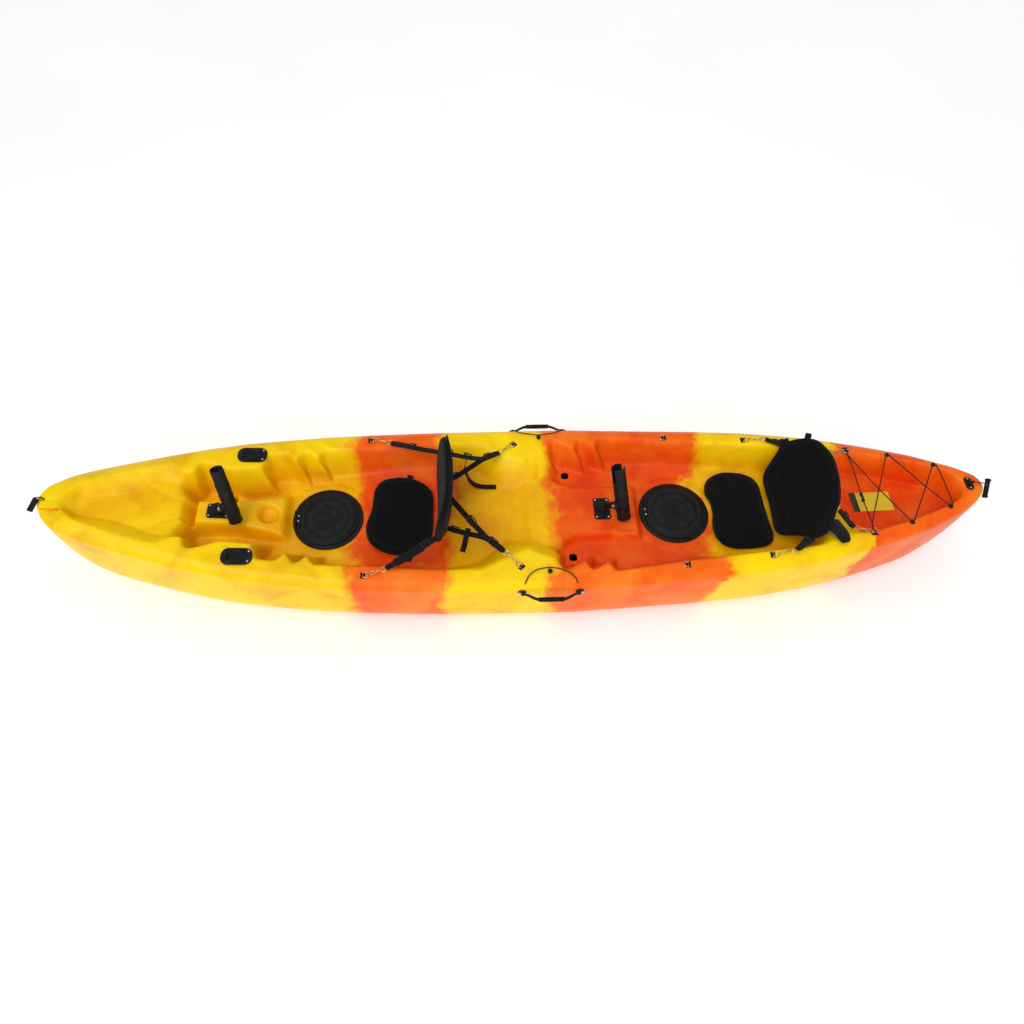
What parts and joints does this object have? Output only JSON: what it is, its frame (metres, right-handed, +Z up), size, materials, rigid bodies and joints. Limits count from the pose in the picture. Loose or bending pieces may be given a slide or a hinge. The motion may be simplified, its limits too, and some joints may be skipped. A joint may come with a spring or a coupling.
{
  "type": "tandem sit-on-top kayak",
  "caption": "Moulded sit-on-top kayak for two with folding seats, screw-down hatches, rod holders, carry handles and a stern tankwell.",
  "frame": {"origin": "on the surface the kayak stands on, under the middle of its length, on its centre plane", "axes": "+X towards the stern, +Y to starboard, +Z up"},
  "size_m": [3.8311, 0.856, 0.581],
  "materials": {
    "hull_plastic": "rotomoulded polyethylene, yellow and orange swirled together, soft sheen",
    "black_plastic": "satin moulded nylon",
    "black_rubber": "matt",
    "steel": "stainless",
    "brassy_steel": "bright",
    "seat_fabric": "woven polyester over foam",
    "webbing": "flat polyester webbing",
    "cord": "braided sheath",
    "blank_sticker": "blank printed film"
  },
  "bodies": {
    "kayak": {"hull": "hull_plastic", "front_hatch_rim": "black_plastic", "front_hatch_gasket": "black_rubber", "front_hatch_pin": "steel", "rear_hatch_rim": "black_plastic", "rear_hatch_gasket": "black_rubber", "rear_hatch_pin": "steel", "hatch_screws": "steel", "flush_holder_port": "black_plastic", "flush_holder_starboard": "black_plastic", "flush_hinges": "black_plastic", "flush_screws": "steel", "front_rod_base": "black_plastic", "rear_rod_base": "black_plastic", "rod_base_screws": "steel", "pad_eyes": "black_plastic", "pad_eye_rivets": "steel", "seat_rings": "brassy_steel", "front_seat_cushion": "seat_fabric", "rear_seat_cushion": "seat_fabric", "front_seat_straps": "webbing", "rear_seat_straps": "webbing", "front_seat_hooks": "brassy_steel", "rear_seat_hooks": "brassy_steel", "front_seat_buckles": "black_plastic", "rear_seat_buckles": "black_plastic", "handle_pads": "black_plastic", "handle_screws": "steel", "keeper_knobs": "black_plastic", "paddle_keeper_port": "cord", "paddle_keeper_starboard": "cord", "bow_loop": "cord", "stern_plate": "black_plastic", "stern_screws": "steel", "bungee_eyelets": "black_plastic", "bungee": "cord", "bungee_joiner": "black_plastic", "blank_label": "blank_sticker"},
    "front_lid": {"front_hatch_lid": "black_plastic"},
    "rear_lid": {"rear_hatch_lid": "black_plastic"},
    "cap_port": {"flush_cap_port": "black_plastic"},
    "cap_starboard": {"flush_cap_starboard": "black_plastic"},
    "front_swivel": {"front_rod_arm": "black_plastic", "front_rod_bolt": "steel"},
    "front_holder": {"front_rod_tube": "black_plastic"},
    "rear_swivel": {"rear_rod_arm": "black_plastic", "rear_rod_bolt": "steel"},
    "rear_holder": {"rear_rod_tube": "black_plastic"},
    "front_back": {"front_seat_back": "seat_fabric"},
    "rear_back": {"rear_seat_back": "seat_fabric"},
    "handle_port": {"side_handle_port": "black_rubber"},
    "handle_starboard": {"side_handle_starboard": "black_rubber"},
    "ring_port": {"free_ring_port": "brassy_steel"},
    "ring_starboard": {"free_ring_starboard": "brassy_steel"},
    "toggle": {"stern_toggle": "black_rubber", "stern_cord": "cord"},
    "strap": {"bow_strap": "webbing"}
  },
  "joints": [
    {"name": "front_hatch_hinge", "type": "hinge", "parent": "kayak", "child": "front_lid", "pos_m": [-0.908, 0, 0.2544], "axis": [0, -1, 0], "range_deg": [0, 95]},
    {"name": "rear_hatch_hinge", "type": "hinge", "parent": "kayak", "child": "rear_lid", "pos_m": [0.53, 0, 0.2544], "axis": [0, -1, 0], "range_deg": [0, 95]},
    {"name": "flush_cap_hinge_port", "type": "hinge", "parent": "kayak", "child": "cap_port", "pos_m": [-1.12542, -0.24, 0.38461], "axis": [0, -1, 0], "range_deg": [0, 110]},
    {"name": "flush_cap_hinge_starboard", "type": "hinge", "parent": "kayak", "child": "cap_starboard", "pos_m": [-1.12542, 0.24, 0.38461], "axis": [0, -1, 0], "range_deg": [0, 110]},
    {"name": "front_rod_swivel", "type": "hinge", "parent": "kayak", "child": "front_swivel", "pos_m": [-1.20308, 0, 0.34131], "axis": [0.0958, 0, 0.9954], "range_deg": [-30, 30]},
    {"name": "front_rod_tilt", "type": "hinge", "parent": "front_swivel", "child": "front_holder", "pos_m": [-1.13111, -0.0285, 0.41475], "axis": [0.8629, 0.4985, -0.0831], "range_deg": [-15, 15]},
    {"name": "rear_rod_swivel", "type": "hinge", "parent": "kayak", "child": "rear_swivel", "pos_m": [0.357, 0, 0.3024], "axis": [0, 0, 1], "range_deg": [-30, 30]},
    {"name": "rear_rod_tilt", "type": "hinge", "parent": "rear_swivel", "child": "rear_holder", "pos_m": [0.4216, -0.0285, 0.3824], "axis": [0.8669, 0.4985, 0], "range_deg": [-15, 15]},
    {"name": "front_seat_back_fold", "type": "hinge", "parent": "kayak", "child": "front_back", "pos_m": [-0.305, 0, 0.285], "axis": [0, -1, 0], "range_deg": [-20, 45], "deforming": ["front_seat_straps"]},
    {"name": "rear_seat_back_fold", "type": "hinge", "parent": "kayak", "child": "rear_back", "pos_m": [1.058, 0, 0.285], "axis": [0, -1, 0], "range_deg": [0, 60], "deforming": ["rear_seat_straps"]},
    {"name": "side_handle_swing_port", "type": "hinge", "parent": "kayak", "child": "handle_port", "pos_m": [0.115, -0.394, 0.308], "axis": [1, 0, 0], "range_deg": [-60, 60]},
    {"name": "side_handle_swing_starboard", "type": "hinge", "parent": "kayak", "child": "handle_starboard", "pos_m": [0.115, 0.394, 0.308], "axis": [-1, 0, 0], "range_deg": [-60, 60]},
    {"name": "free_ring_lift_port", "type": "hinge", "parent": "kayak", "child": "ring_port", "pos_m": [0.647, -0.306, 0.36146], "axis": [0, 1, 0], "range_deg": [0, 120]},
    {"name": "free_ring_lift_starboard", "type": "hinge", "parent": "kayak", "child": "ring_starboard", "pos_m": [0.647, 0.306, 0.36146], "axis": [0, 1, 0], "range_deg": [0, 120]},
    {"name": "stern_toggle_lift", "type": "hinge", "parent": "kayak", "child": "toggle", "pos_m": [1.822, 0, 0.4346], "axis": [0, -1, 0], "range_deg": [0, 60]},
    {"name": "bow_strap_lift", "type": "hinge", "parent": "kayak", "child": "strap", "pos_m": [-1.875, -0.006, 0.4445], "axis": [-0.9363, 0.3511, 0], "range_deg": [0, 72]}
  ]
}
